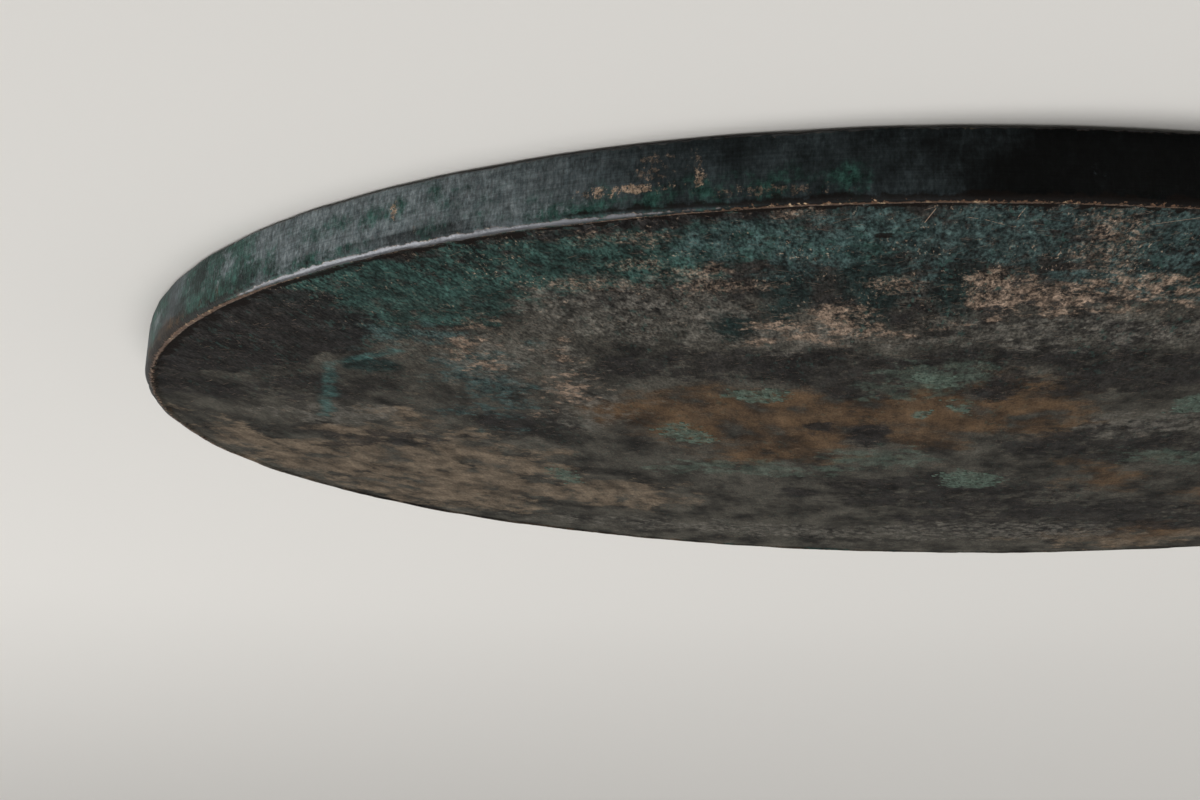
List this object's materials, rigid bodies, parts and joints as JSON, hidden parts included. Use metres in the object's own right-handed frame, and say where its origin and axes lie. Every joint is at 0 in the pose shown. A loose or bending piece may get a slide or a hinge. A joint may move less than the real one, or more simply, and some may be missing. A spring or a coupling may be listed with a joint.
{
  "type": "bronze mirror",
  "caption": "Round cast bronze mirror with a plain patinated face, straight edge wall, raised back rim and a small pierced knob in the middle of the back.",
  "frame": {"origin": "middle of the underside, in the plane of the raised back rim that the mirror lies on", "axes": "+Z square to the plate, out of the polished face; +X along the cord hole through the knob"},
  "size_m": [0.165, 0.165, 0.005],
  "materials": {
    "patinated_bronze": "old cast bronze under teal-green, charcoal and tan patina, satin, with metal worn bright along the face edge"
  },
  "bodies": {
    "root": {"mirror_disc": "patinated_bronze"}
  },
  "joints": []
}
